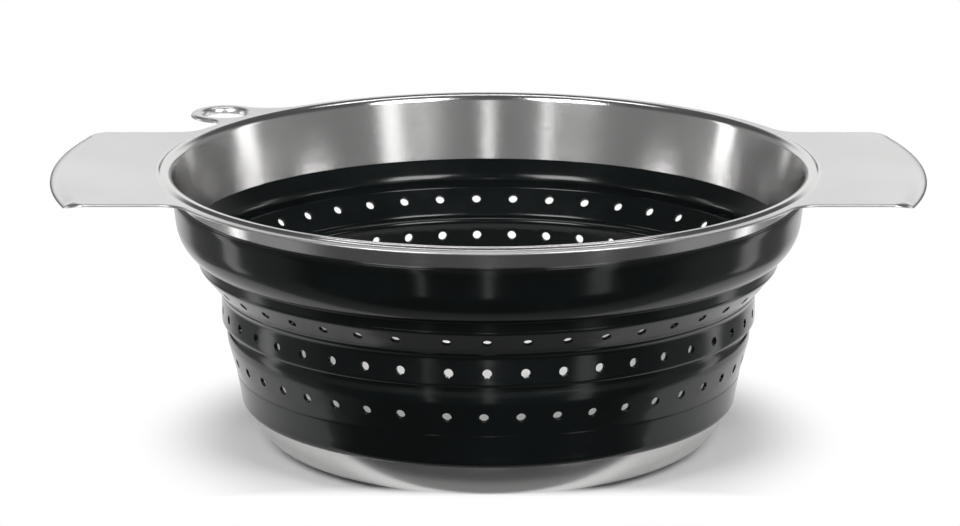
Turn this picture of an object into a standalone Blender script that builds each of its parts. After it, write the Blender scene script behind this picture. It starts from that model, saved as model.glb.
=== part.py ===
"""Collapsible colander: a steel rim and a steel base joined by a silicone wall that folds in two steps.

The model stands on its base at Z = 0, with the axis of the bowl along Z and the handles along X.
The radii run inwards from the mouth and the heights run upwards from the table, so each piece takes
its seat from the piece that carries it.
"""

import math

import bmesh
import bpy
from mathutils import Matrix, Vector

# Facets and clearances
ROUND_STEPS = 45
HOLE_SIDES = 8
FLOOR_HOLE_SIDES = 6
BEND_STEPS = 3
FINE_BEND_STEPS = 4
BROAD_BEND_STEPS = 5
COLLAR_STEPS = 2
EYELET_STEPS = 11
SEAM_GAP = 0.0003
CUT_OVERRUN = 0.002
SHARP_ANGLE = math.radians(35)

# Rim ring, a steel stamping
RIM_SHEET = 0.0008
MOUTH_RADIUS = 0.1200
BEAD_CREST_INSET = 0.0015
BEAD_CREST_RISE = 0.0009
BEAD_OUTER_WIDTH = 0.0019
SHOULDER_WIDTH = 0.0039
SHOULDER_DEPTH = 0.0029
FLANGE_WIDTH = 0.0065
SKIRT_TAPER = 0.0055
SKIRT_DEPTH = 0.0238
RIM_REVEAL = 0.0084
EDGE_ROUND_WIDTH = 0.0012
EDGE_ROUND_DROP = 0.0004

# Handles, part of the same stamping
HANDLE_REACH = 0.1630
HANDLE_WIDTH = 0.1150
HANDLE_CORNER_RADIUS = 0.0080
HANDLE_ROOT_FILLET = 0.0120
HANDLE_LIP_WIDTH = 0.0055
HANDLE_LIP_DROP = 0.0026

# Hanging eyelet, part of the same stamping
EYELET_HANDLE_GAP = 0.0111
EYELET_STAND_OFF = 0.0104
EYELET_RADIUS = 0.0133
EYELET_HOLE_RADIUS = 0.0084
EYELET_NOTCH_FILLET = 0.0030
EYELET_BLEND_FILLET = 0.0200
EYELET_LIP_WIDTH = 0.0014
EYELET_LIP_DROP = 0.0014
EYELET_COLLAR_WIDTH = 0.0018
EYELET_COLLAR_DROP = 0.0024

# Upper band of the silicone wall
UPPER_BAND_HEIGHT = 0.0254
UPPER_BAND_EDGE = 0.0007
UPPER_BAND_TAPER = 0.0011
UPPER_BELLY_HEIGHT = 0.0111
UPPER_BELLY_DRAW = 0.0057
UPPER_BELLY_START = math.radians(6)
UPPER_BELLY_END = math.radians(55)
UPPER_STRIP_HEIGHT = 0.0036
UPPER_STEP_WIDTH = 0.0022
UPPER_STEP_HEIGHT = 0.0011
UPPER_STRIP_TAPER = 0.0005
UPPER_WALL = 0.0020

# Upper fold, the cone with the first row of holes
UPPER_FOLD_HEIGHT = 0.0105
UPPER_FOLD_DRAW = 0.0076
UPPER_ROW_SHARE = 0.43
FOLD_WALL = 0.0012

# Middle band, with the second row of holes and a bead inside its head
MIDDLE_BAND_HEIGHT = 0.0143
MIDDLE_WALL = 0.0015
MIDDLE_HEEL_WIDTH = 0.0008
MIDDLE_HEEL_HEIGHT = 0.0014
MIDDLE_TOE_ROUND = 0.0014
MIDDLE_BEAD_HEIGHT = 0.0042
MIDDLE_BEAD_DEPTH = 0.0007
MIDDLE_ROW_HEIGHT = 0.0071

# Lower fold: a groove, a ledge and the cone with the third row of holes
LOWER_FOLD_HEIGHT = 0.0181
GROOVE_DEPTH = 0.0023
LEDGE_DEPTH = 0.0018
LEDGE_DROP = 0.0019
LEDGE_HEIGHT = 0.0030
LEDGE_TAPER = 0.0002
LOWER_FOLD_DRAW = 0.0054
LOWER_ROW_SHARE = 0.42
LOWER_ROW_TURN = math.radians(-0.7)

# Lower band of the silicone wall
LOWER_BAND_HEIGHT = 0.0127
LOWER_BAND_TAPER = 0.0017
CURL_WIDTH = 0.0030
CURL_HEIGHT = 0.0034
CURL_SWEEP = math.radians(78)

# Base dish, a steel pressing
BASE_SHEET = 0.0008
BASE_CORNER_RADIUS = 0.0173
BASE_WALL_HEIGHT = 0.0077
BASE_REVEAL = 0.0148
BASE_FLARE = 0.0012
FOOT_RING_WIDTH = 0.0090
FLOOR_RISE = 0.0016
FLOOR_RAMP = 0.0030

# Holes; each row has one pitch wider than the others by the extra
HOLES_PER_ROW = 45
FIRST_HOLE_ANGLE = math.radians(261.8)
HOLE_GAP_EXTRA = math.radians(2.25)
HOLE_DIAMETER = 0.0034
FLOOR_HOLE_DIAMETER = 0.0045
FLOOR_HOLE_PITCH = 0.0150
FLOOR_HOLE_RINGS = 3
FIRST_RING_HOLES = 6

# Heights above the table
lower_band_foot = BASE_REVEAL
lower_band_top = lower_band_foot + LOWER_BAND_HEIGHT
lower_fold_top = lower_band_top + LOWER_FOLD_HEIGHT
middle_band_top = lower_fold_top + MIDDLE_BAND_HEIGHT
upper_fold_top = middle_band_top + UPPER_FOLD_HEIGHT
upper_band_top = upper_fold_top + UPPER_BAND_HEIGHT
flange_top = upper_band_top + RIM_REVEAL
skirt_foot = flange_top - SKIRT_DEPTH

# Outer radii, from the mouth inwards
crest_radius = MOUTH_RADIUS + BEAD_CREST_INSET
flange_inner = crest_radius + BEAD_OUTER_WIDTH
flange_outer = MOUTH_RADIUS + FLANGE_WIDTH
skirt_head_radius = crest_radius - SHOULDER_WIDTH
skirt_foot_radius = skirt_head_radius - SKIRT_TAPER
skirt_head = flange_top + BEAD_CREST_RISE - SHOULDER_DEPTH

# Plan positions and the sheet's turned edges, each a width and a drop
handle_root_reach = flange_outer + HANDLE_ROOT_FILLET
handle_root_angle = math.asin((HANDLE_WIDTH / 2 + HANDLE_ROOT_FILLET) / handle_root_reach)
eyelet_distance = flange_outer + EYELET_STAND_OFF
PLAIN_EDGE = Vector((EDGE_ROUND_WIDTH, EDGE_ROUND_DROP))
HANDLE_EDGE = Vector((HANDLE_LIP_WIDTH, HANDLE_LIP_DROP))
EYELET_EDGE = Vector((EYELET_LIP_WIDTH, EYELET_LIP_DROP))
COLLAR_EDGE = Vector((EYELET_COLLAR_WIDTH, EYELET_COLLAR_DROP))
hole_pitch = (math.tau - HOLE_GAP_EXTRA) / HOLES_PER_ROW
facet_start = FIRST_HOLE_ANGLE - HOLE_GAP_EXTRA / 2 - math.pi / ROUND_STEPS


def skirt_outer(height):
    """Return the outer radius of the rim's skirt at a height above the table."""
    share = (skirt_head - height) / (skirt_head - skirt_foot)
    slope = math.hypot(SKIRT_TAPER, skirt_head - skirt_foot) / (skirt_head - skirt_foot)
    return skirt_head_radius - SKIRT_TAPER * share + RIM_SHEET * slope


def fillet_swing(radius):
    """Return the angle round the bowl from the eyelet to a fillet that joins it to the ring."""
    reach = flange_outer + radius
    span = EYELET_RADIUS + radius
    return math.acos((eyelet_distance ** 2 + reach ** 2 - span ** 2) / (2 * eyelet_distance * reach))


notch_angle = math.pi - handle_root_angle - EYELET_HANDLE_GAP / flange_outer
eyelet_angle = notch_angle - fillet_swing(EYELET_NOTCH_FILLET)
blend_angle = eyelet_angle - fillet_swing(EYELET_BLEND_FILLET)
eyelet_centre = Matrix.Rotation(eyelet_angle, 2) @ Vector((eyelet_distance, 0))
upper_band_radius = skirt_outer(upper_band_top) + SEAM_GAP + UPPER_BAND_EDGE
belly_radius = upper_band_radius - UPPER_BAND_TAPER
upper_edge_radius = belly_radius - UPPER_BELLY_DRAW
strip_radius = upper_edge_radius - UPPER_STEP_WIDTH
upper_fold_radius = strip_radius - UPPER_STRIP_TAPER
middle_head_radius = upper_fold_radius - UPPER_FOLD_DRAW
middle_radius = middle_head_radius - MIDDLE_HEEL_WIDTH
groove_radius = middle_radius - GROOVE_DEPTH
ledge_radius = middle_radius - LEDGE_DEPTH
lower_band_radius = middle_radius - LOWER_FOLD_DRAW
curl_radius = lower_band_radius - LOWER_BAND_TAPER
base_wall_radius = curl_radius - CURL_WIDTH - SEAM_GAP
base_wall_foot = BASE_CORNER_RADIUS
base_wall_top = base_wall_foot + BASE_WALL_HEIGHT
foot_radius = base_wall_radius - BASE_CORNER_RADIUS
floor_radius = foot_radius - FOOT_RING_WIDTH


def clear_scene():
    """Remove every object that the file opened with."""
    for item in list(bpy.data.objects):
        bpy.data.objects.remove(item, do_unlink=True)


def make_material(name, colour, metallic, roughness):
    """Return a Principled BSDF material."""
    material = bpy.data.materials.new(name)
    material.use_nodes = True
    shader = material.node_tree.nodes["Principled BSDF"]
    shader.inputs["Base Color"].default_value = (*colour, 1.0)
    shader.inputs["Metallic"].default_value = metallic
    shader.inputs["Roughness"].default_value = roughness
    return material


def finish_object(name, bm, material):
    """Turn a bmesh into a named, smooth-shaded object."""
    bmesh.ops.recalc_face_normals(bm, faces=bm.faces)
    mesh = bpy.data.meshes.new(name)
    bm.to_mesh(mesh)
    bm.free()
    mesh.shade_smooth()
    mesh.set_sharp_from_angle(angle=SHARP_ANGLE)
    item = bpy.data.objects.new(name, mesh)
    bpy.context.collection.objects.link(item)
    item.data.materials.append(material)
    return item


def arc(centre, radii, start, end, steps):
    """Return points on an elliptical arc, both ends included."""
    points = []
    for step in range(steps + 1):
        angle = start + (end - start) * step / steps
        points.append((centre[0] + radii[0] * math.cos(angle), centre[1] + radii[1] * math.sin(angle)))
    return points


def offset_line(line, distance):
    """Return an open line moved sideways, to the right of its direction when distance is positive."""
    points = [Vector(point) for point in line]
    runs = [(after - before).normalized() for before, after in zip(points, points[1:])]
    moved = []
    for index, point in enumerate(points):
        before = runs[max(index - 1, 0)]
        after = runs[min(index, len(runs) - 1)]
        side_before = Vector((before.y, -before.x))
        side_after = Vector((after.y, -after.x))
        middle = (side_before + side_after).normalized()
        moved.append(tuple(point + middle * distance / middle.dot(side_before)))
    return moved


def level_section(outer_line, thickness):
    """Return the closed section of a wall whose outer line runs down the bowl, with level ends."""
    inner = offset_line(outer_line, thickness)
    for end, beside in ((0, 1), (-1, -2)):
        near, far = Vector(inner[end]), Vector(inner[beside])
        share = (outer_line[end][1] - far.y) / (near.y - far.y)
        inner[end] = tuple(far.lerp(near, share))
    return list(outer_line) + inner[::-1]


def spin_line(bm, line, closed):
    """Turn a line of (radius, height) points about Z; each hole falls inside one facet."""
    across = Vector((math.cos(facet_start), math.sin(facet_start), 0))
    verts = [bm.verts.new(across * radius + Vector((0, 0, height))) for radius, height in line]
    pairs = list(zip(verts, verts[1:]))
    if closed:
        pairs.append((verts[-1], verts[0]))
    edges = [bm.edges.new(pair) for pair in pairs]
    bmesh.ops.spin(
        bm, geom=verts + edges, cent=(0, 0, 0), axis=(0, 0, 1), dvec=(0, 0, 0),
        angle=math.tau, steps=ROUND_STEPS, use_merge=True, use_duplicate=False)


def turned_ring(name, section, material):
    """Return a ring turned from a closed section."""
    bm = bmesh.new()
    spin_line(bm, section, closed=True)
    return finish_object(name, bm, material)


def hole_cutter(name, places, radius, length, sides):
    """Return one cutter made of a prism at each place, a pair of a centre and a direction."""
    bm = bmesh.new()
    for centre, direction in places:
        turn = Vector(direction).to_track_quat("Z", "Y").to_matrix().to_4x4()
        spin = Matrix.Rotation(math.pi / sides, 4, "Z")
        bmesh.ops.create_cone(
            bm, cap_ends=True, segments=sides, radius1=radius, radius2=radius, depth=length,
            matrix=Matrix.Translation(centre) @ turn @ spin)
    mesh = bpy.data.meshes.new(name)
    bm.to_mesh(mesh)
    bm.free()
    cutter = bpy.data.objects.new(name, mesh)
    bpy.context.collection.objects.link(cutter)
    cutter.hide_render = True
    cutter.display_type = "WIRE"
    return cutter


def cut_holes(item, cutter):
    """Cut a piece with a cutter that follows it."""
    cutter.parent = item
    boolean = item.modifiers.new("holes", "BOOLEAN")
    boolean.operation = "DIFFERENCE"
    boolean.solver = "EXACT"
    boolean.object = cutter


def row_places(point, direction, turn):
    """Return the places of one row of holes round the wall, from one (radius, height) point."""
    places = []
    for hole in range(HOLES_PER_ROW):
        angle = FIRST_HOLE_ANGLE + turn + hole_pitch * hole
        across = Vector((math.cos(angle), math.sin(angle), 0))
        centre = across * point[0] + Vector((0, 0, point[1]))
        places.append((centre, across * direction[0] + Vector((0, 0, direction[1]))))
    return places


def wall_row(name, upper_point, lower_point, share, turn):
    """Return the cutter for a row of holes square to a straight stretch of a fold.

    The stretch is given by its upper and lower outer points, and share places the row along it.
    """
    upper, lower = Vector(upper_point), Vector(lower_point)
    run = (lower - upper).normalized()
    outwards = Vector((-run.y, run.x))
    centre = upper.lerp(lower, share) - outwards * FOLD_WALL / 2
    places = row_places(centre, outwards, turn)
    return hole_cutter(name, places, HOLE_DIAMETER / 2, FOLD_WALL + 2 * CUT_OVERRUN, HOLE_SIDES)


def plan_arc(centre, radius, start, end, steps, edges):
    """Return plan points on an arc as (point, outward normal, turned edge) tuples, both ends included.

    The edges are the turned edges at the start and at the end of the arc.
    """
    side = math.copysign(1, end - start)
    points = []
    for step in range(steps + 1):
        share = step / steps
        angle = start + (end - start) * share
        normal = Vector((math.cos(angle), math.sin(angle)))
        points.append((Vector(centre) + normal * radius, normal * side, edges[0].lerp(edges[1], share)))
    return points


def handle_outline():
    """Return one half of the +X handle's outline, from its tip to the ring."""
    corner_reach = HANDLE_REACH - HANDLE_CORNER_RADIUS
    corner_angle = math.asin((HANDLE_WIDTH / 2 - HANDLE_CORNER_RADIUS) / corner_reach)
    corner_centre = Matrix.Rotation(corner_angle, 2) @ Vector((corner_reach, 0))
    root_centre = Matrix.Rotation(handle_root_angle, 2) @ Vector((handle_root_reach, 0))
    tip = plan_arc((0, 0), HANDLE_REACH, 0, corner_angle, FINE_BEND_STEPS, (HANDLE_EDGE, HANDLE_EDGE))
    corner = plan_arc(
        corner_centre, HANDLE_CORNER_RADIUS, corner_angle, math.pi / 2, FINE_BEND_STEPS,
        (HANDLE_EDGE, PLAIN_EDGE))
    root = plan_arc(
        root_centre, HANDLE_ROOT_FILLET, -math.pi / 2, handle_root_angle - math.pi, BEND_STEPS,
        (PLAIN_EDGE, PLAIN_EDGE))
    return tip + corner[1:] + root


def eyelet_fillet(radius, ring_angle):
    """Return the centre of a fillet between the ring and the eyelet, and its direction to the eyelet."""
    middle = Vector((math.cos(ring_angle), math.sin(ring_angle))) * (flange_outer + radius)
    towards = eyelet_centre - middle
    return middle, math.atan2(towards.y, towards.x)


def eyelet_outline():
    """Return the eyelet's outline, from its blend with the ring to its notch."""
    blend, blend_end = eyelet_fillet(EYELET_BLEND_FILLET, blend_angle)
    notch, notch_start = eyelet_fillet(EYELET_NOTCH_FILLET, notch_angle)
    blend_start = blend_angle + math.pi
    blend_sweep = (blend_end - blend_start) % math.tau - math.tau
    round_start = blend_end + math.pi
    round_sweep = (notch_start - blend_end) % math.tau
    notch_sweep = (notch_angle + math.pi - notch_start) % math.tau - math.tau
    points = plan_arc(
        blend, EYELET_BLEND_FILLET, blend_start, blend_start + blend_sweep, BEND_STEPS,
        (PLAIN_EDGE, EYELET_EDGE))
    points += plan_arc(
        eyelet_centre, EYELET_RADIUS, round_start, round_start + round_sweep, EYELET_STEPS,
        (EYELET_EDGE, EYELET_EDGE))[1:]
    points += plan_arc(
        notch, EYELET_NOTCH_FILLET, notch_start, notch_start + notch_sweep, BEND_STEPS,
        (EYELET_EDGE, PLAIN_EDGE))[1:]
    return points


def mirrored(points, flip_x, flip_y):
    """Return plan points mirrored, in the order that keeps the sheet on their left."""
    flip = Matrix(((flip_x, 0), (0, flip_y)))
    flipped = [(flip @ point, flip @ normal, edge) for point, normal, edge in points]
    return flipped if flip_x * flip_y > 0 else flipped[::-1]


def ring_arc(start, end):
    """Return the inner points of a stretch of the ring's outer edge, without its two ends."""
    steps = max(1, round((end - start) * ROUND_STEPS / math.tau))
    return plan_arc((0, 0), flange_outer, start, end, steps, (PLAIN_EDGE, PLAIN_EDGE))[1:-1]


def ring_point(angle):
    """Return one point of the ring's outer edge."""
    return plan_arc((0, 0), flange_outer, angle, angle + math.pi, 1, (PLAIN_EDGE, PLAIN_EDGE))[:1]


def stamping_outline():
    """Return the whole outline of the stamping, counter-clockwise from the +X handle's tip."""
    quarter = handle_outline()
    root = handle_root_angle
    back, front = math.pi / 2, 3 * math.pi / 2
    points = quarter + ring_arc(root, back) + ring_point(back) + ring_arc(back, blend_angle)
    points += eyelet_outline() + ring_arc(notch_angle, math.pi - root)
    points += mirrored(quarter, -1, 1) + mirrored(quarter, -1, -1)[1:]
    points += ring_arc(math.pi + root, front) + ring_point(front) + ring_arc(front, math.tau - root)
    points += mirrored(quarter, 1, -1)[:-1]
    return points


def turned_edge(bm, outline, steps):
    """Build the turned-down edge of the sheet along a closed outline.

    Each outline entry is a point, the direction in which the sheet ends and the edge's width and drop.
    Returns the edges of the upper and of the lower inner loop, where the flat of the sheet begins.
    """
    turns = [math.pi / 2 * step / steps for step in range(steps + 1)]
    places = [(turn, 0) for turn in turns] + [(turn, RIM_SHEET) for turn in reversed(turns)]
    rings = []
    for turn, sheet in places:
        ring = []
        for point, normal, (width, drop) in outline:
            inset = width * (1 - math.sin(turn)) + sheet * math.sin(turn)
            fall = drop * (1 - math.cos(turn)) + sheet * math.cos(turn)
            place = point - normal * inset
            ring.append(bm.verts.new((*place, flange_top - fall)))
        rings.append(ring)
    for ring, following in zip(rings, rings[1:]):
        for index, vert in enumerate(ring):
            bm.faces.new((ring[index - 1], vert, following[index], following[index - 1]))
    return [[bm.edges.get((ring[index - 1], vert)) for index, vert in enumerate(ring)]
            for ring in (rings[0], rings[-1])]


def rim_section():
    """Return the upper line of the turned part of the rim, from the flange inwards and down."""
    bead = []
    for step in range(BEND_STEPS):
        share = step / BEND_STEPS
        rise = BEAD_CREST_RISE * (1 - math.cos(math.pi * share)) / 2
        bead.append((flange_inner - BEAD_OUTER_WIDTH * share, flange_top + rise))
    shoulder = arc(
        (crest_radius, skirt_head), (-SHOULDER_WIDTH, SHOULDER_DEPTH), math.pi / 2, 0, FINE_BEND_STEPS)
    return bead + shoulder + [(skirt_foot_radius, skirt_foot)]


def make_rim_ring(material):
    """Stamp the rim: skirt, bead, flange, two handles and the eyelet in one sheet."""
    bm = bmesh.new()
    upper_line = rim_section()
    under_line = offset_line(upper_line, -RIM_SHEET)
    under_line[0] = (upper_line[0][0], flange_top - RIM_SHEET)
    spin_line(bm, upper_line + under_line[::-1], closed=False)
    inner_loops = [edge for edge in bm.edges if edge.is_boundary]

    outer_upper, outer_lower = turned_edge(bm, stamping_outline(), BEND_STEPS)
    around = plan_arc(
        eyelet_centre, EYELET_HOLE_RADIUS, math.tau, 0, EYELET_STEPS, (COLLAR_EDGE, COLLAR_EDGE))
    hole_upper, hole_lower = turned_edge(bm, around[:-1], COLLAR_STEPS)

    split = flange_top - RIM_SHEET / 2
    upper = [edge for edge in inner_loops if edge.verts[0].co.z > split]
    lower = [edge for edge in inner_loops if edge.verts[0].co.z <= split]
    for loops in (upper + outer_upper + hole_upper, lower + outer_lower + hole_lower):
        bmesh.ops.triangle_fill(bm, use_beauty=True, use_dissolve=False, edges=loops, normal=(0, 0, 1))
    return finish_object("rim_ring", bm, material)


def make_upper_band(material):
    """Mould the convex band that holds the skirt, with the step and the strip under it."""
    foot = upper_fold_top + SEAM_GAP / 2
    edge_height = upper_fold_top + UPPER_STRIP_HEIGHT + UPPER_STEP_HEIGHT
    start, end = UPPER_BELLY_START, UPPER_BELLY_END
    depth_scale = UPPER_BELLY_HEIGHT / (math.sin(end) - math.sin(start))
    draw_scale = UPPER_BELLY_DRAW / (math.cos(start) - math.cos(end))
    centre = (belly_radius - draw_scale * math.cos(start),
              edge_height + UPPER_BELLY_HEIGHT + depth_scale * math.sin(start))
    belly = arc(centre, (draw_scale, depth_scale), -start, -end, FINE_BEND_STEPS)
    outer = [(upper_band_radius, upper_band_top)] + belly
    outer += [(strip_radius, edge_height - UPPER_STEP_HEIGHT), (upper_fold_radius, foot)]

    seat_foot = skirt_foot - SEAM_GAP
    inner = [(upper_fold_radius - UPPER_WALL, foot), (strip_radius - UPPER_WALL, edge_height)]
    inner += [(radius - UPPER_WALL, height) for radius, height in reversed(belly)
              if edge_height < height < seat_foot - UPPER_WALL / 2]
    inner += [(skirt_foot_radius, seat_foot), (skirt_outer(seat_foot) + SEAM_GAP, seat_foot),
              (skirt_outer(upper_band_top) + SEAM_GAP, upper_band_top)]
    return turned_ring("upper_band", outer + inner, material)


def make_upper_fold(material):
    """Mould the upper folding cone and cut its row of holes."""
    top = (upper_fold_radius, upper_fold_top - SEAM_GAP / 2)
    foot = (middle_head_radius, middle_band_top + SEAM_GAP / 2)
    fold = turned_ring("upper_fold", level_section([top, foot], FOLD_WALL), material)
    cut_holes(fold, wall_row("upper_row_cutter", top, foot, UPPER_ROW_SHARE, 0))
    return fold


def make_middle_band(material):
    """Mould the upright band between the folds, beaded inside its head, and cut its row of holes."""
    top = middle_band_top - SEAM_GAP / 2
    foot = lower_fold_top + SEAM_GAP / 2
    toe = foot + 2 * MIDDLE_TOE_ROUND
    outer = [(middle_head_radius, top), (middle_radius, middle_band_top - MIDDLE_HEEL_HEIGHT)]
    outer += arc((groove_radius, toe), (GROOVE_DEPTH, MIDDLE_TOE_ROUND), 0, -math.pi / 2, COLLAR_STEPS)
    outer.append((groove_radius, foot))
    inner_radius = middle_radius - MIDDLE_WALL
    bead_foot = middle_band_top - MIDDLE_BEAD_HEIGHT
    inner = [(groove_radius - FOLD_WALL, foot), (inner_radius, toe), (inner_radius, bead_foot)]
    inner += [(inner_radius - MIDDLE_BEAD_DEPTH, bead_foot + MIDDLE_BEAD_DEPTH),
              (inner_radius - MIDDLE_BEAD_DEPTH, top - MIDDLE_HEEL_HEIGHT), (inner_radius, top)]
    band = turned_ring("middle_band", outer + inner, material)
    places = row_places((middle_radius - MIDDLE_WALL / 2, lower_fold_top + MIDDLE_ROW_HEIGHT), (1, 0), 0)
    cut_holes(band, hole_cutter(
        "middle_row_cutter", places, HOLE_DIAMETER / 2, MIDDLE_WALL + 2 * CUT_OVERRUN, HOLE_SIDES))
    return band


def make_lower_fold(material):
    """Mould the groove, the ledge and the lower folding cone, and cut its row of holes."""
    top = lower_fold_top - SEAM_GAP / 2
    ledge_top = lower_fold_top - LEDGE_DROP
    cone_top = (ledge_radius - LEDGE_TAPER, ledge_top - LEDGE_HEIGHT)
    cone_foot = (lower_band_radius, lower_band_top + SEAM_GAP / 2)
    outer = [(groove_radius, top), (ledge_radius, ledge_top), cone_top, cone_foot]
    fold = turned_ring("lower_fold", level_section(outer, FOLD_WALL), material)
    cut_holes(fold, wall_row("lower_row_cutter", cone_top, cone_foot, LOWER_ROW_SHARE, LOWER_ROW_TURN))
    return fold


def base_outer(height):
    """Return the outer radius of the base dish's wall at a height above its rounded corner."""
    return base_wall_radius + BASE_FLARE * (height - base_wall_foot) / BASE_WALL_HEIGHT


def make_lower_band(material):
    """Mould the band that holds the base's wall, with its curled foot."""
    top = lower_band_top - SEAM_GAP / 2
    curl = arc(
        (curl_radius - CURL_WIDTH, lower_band_foot + CURL_HEIGHT), (CURL_WIDTH, CURL_HEIGHT),
        0, -CURL_SWEEP, FINE_BEND_STEPS)
    outer = [(lower_band_radius, top)] + curl
    seat_top = base_wall_top + SEAM_GAP
    seat_foot = base_outer(base_wall_foot) + SEAM_GAP
    inner = [(seat_foot, curl[-1][1]), (seat_foot, base_wall_foot),
             (base_outer(seat_top) + SEAM_GAP, seat_top), (base_outer(base_wall_top) - BASE_SHEET, seat_top),
             (lower_band_radius - FOLD_WALL, top)]
    return turned_ring("lower_band", outer + inner, material)


def floor_places():
    """Return the places of the floor's holes, one in the middle and rings round it."""
    places = [((0, 0, FLOOR_RISE), (0, 0, 1))]
    for ring in range(1, FLOOR_HOLE_RINGS + 1):
        count = FIRST_RING_HOLES * ring
        reach = FLOOR_HOLE_PITCH * ring
        for hole in range(count):
            angle = math.tau * hole / count
            places.append(((reach * math.cos(angle), reach * math.sin(angle), FLOOR_RISE), (0, 0, 1)))
    return places


def make_base_dish(material):
    """Press the dish: wall, rounded corner, foot ring and raised floor, and punch the floor."""
    outer = [(base_outer(base_wall_top), base_wall_top)]
    outer += arc(
        (foot_radius, base_wall_foot), (BASE_CORNER_RADIUS, BASE_CORNER_RADIUS), 0, -math.pi / 2,
        BROAD_BEND_STEPS)
    outer += [(floor_radius, 0), (floor_radius - FLOOR_RAMP, FLOOR_RISE)]
    inner = offset_line(outer + [(0, FLOOR_RISE)], BASE_SHEET)[:-1]
    bm = bmesh.new()
    spin_line(bm, inner[::-1] + outer, closed=False)
    for height in (FLOOR_RISE, FLOOR_RISE + BASE_SHEET):
        loop = [edge for edge in bm.edges
                if edge.is_boundary and abs(edge.verts[0].co.z - height) < BASE_SHEET / 2]
        bmesh.ops.contextual_create(bm, geom=loop)
    dish = finish_object("base_dish", bm, material)
    cut_holes(dish, hole_cutter(
        "floor_hole_cutter", floor_places(), FLOOR_HOLE_DIAMETER / 2,
        2 * (BASE_SHEET + CUT_OVERRUN), FLOOR_HOLE_SIDES))
    return dish


def make_slide(name, height, parent=None):
    """Return an empty on the bowl's axis that carries the pieces above a fold."""
    empty = bpy.data.objects.new(name, None)
    bpy.context.collection.objects.link(empty)
    empty.location.z = height
    empty.parent = parent
    bpy.context.view_layer.update()
    return empty


def carry(item, empty):
    """Hang a piece on an empty without moving it."""
    item.parent = empty
    item.matrix_parent_inverse = empty.matrix_world.inverted()


def main():
    """Build the colander, standing open."""
    clear_scene()
    steel = make_material("brushed_steel", (0.62, 0.62, 0.61), 1.0, 0.22)
    silicone = make_material("black_silicone", (0.012, 0.014, 0.014), 0.0, 0.28)
    make_base_dish(steel)
    make_lower_band(silicone)
    make_lower_fold(silicone)
    middle_slide = make_slide("middle_slide", lower_fold_top)
    carry(make_middle_band(silicone), middle_slide)
    rim_slide = make_slide("rim_slide", upper_fold_top - lower_fold_top, middle_slide)
    for item in (make_upper_fold(silicone), make_upper_band(silicone), make_rim_ring(steel)):
        carry(item, rim_slide)


main()
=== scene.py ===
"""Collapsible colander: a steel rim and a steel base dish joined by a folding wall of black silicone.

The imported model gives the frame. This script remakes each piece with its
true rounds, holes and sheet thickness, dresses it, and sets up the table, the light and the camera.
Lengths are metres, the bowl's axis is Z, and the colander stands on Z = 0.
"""

from __future__ import annotations

import logging
import math
from dataclasses import dataclass
from enum import Enum
from typing import Callable, Sequence, Union

import bmesh
import bpy
from bmesh.types import BMEdge, BMesh, BMVert
from bpy.types import Material, Node, NodeSocket, NodeTree, Object
from mathutils import Matrix, Vector

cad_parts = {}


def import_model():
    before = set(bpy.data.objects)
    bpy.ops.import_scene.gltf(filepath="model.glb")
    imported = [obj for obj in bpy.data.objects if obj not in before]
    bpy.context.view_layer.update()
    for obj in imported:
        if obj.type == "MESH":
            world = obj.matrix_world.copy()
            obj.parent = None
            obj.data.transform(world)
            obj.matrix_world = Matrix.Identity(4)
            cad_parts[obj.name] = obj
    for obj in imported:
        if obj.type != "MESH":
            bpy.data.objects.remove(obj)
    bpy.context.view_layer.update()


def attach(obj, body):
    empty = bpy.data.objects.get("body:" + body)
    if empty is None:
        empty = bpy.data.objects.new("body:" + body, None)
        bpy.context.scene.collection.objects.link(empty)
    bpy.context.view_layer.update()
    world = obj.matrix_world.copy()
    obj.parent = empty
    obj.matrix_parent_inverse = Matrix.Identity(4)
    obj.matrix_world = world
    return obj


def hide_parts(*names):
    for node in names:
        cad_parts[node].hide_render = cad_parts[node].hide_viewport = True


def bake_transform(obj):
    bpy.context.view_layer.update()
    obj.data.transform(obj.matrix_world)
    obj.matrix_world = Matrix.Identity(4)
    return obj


log = logging.getLogger("colander")

Point = tuple[float, float]
Colour = tuple[float, float, float]
Feed = Union[float, Sequence[float], NodeSocket]

ROUND = 180  # chords in a full turn
SEAM = 0.00003  # gap between pieces that are moulded or bonded together
MERGE = 1e-6  # points closer than this are one point
WALL_STEP = 0.003  # longest chord down a straight wall


class Body(Enum):
    """The bodies that the pieces ride on."""

    BASE = "base"
    MIDDLE = "middle"
    RIM = "rim"


class Slot(Enum):
    """The names of the material slots."""

    STEEL = "steel"
    SILICONE = "silicone"


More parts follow.
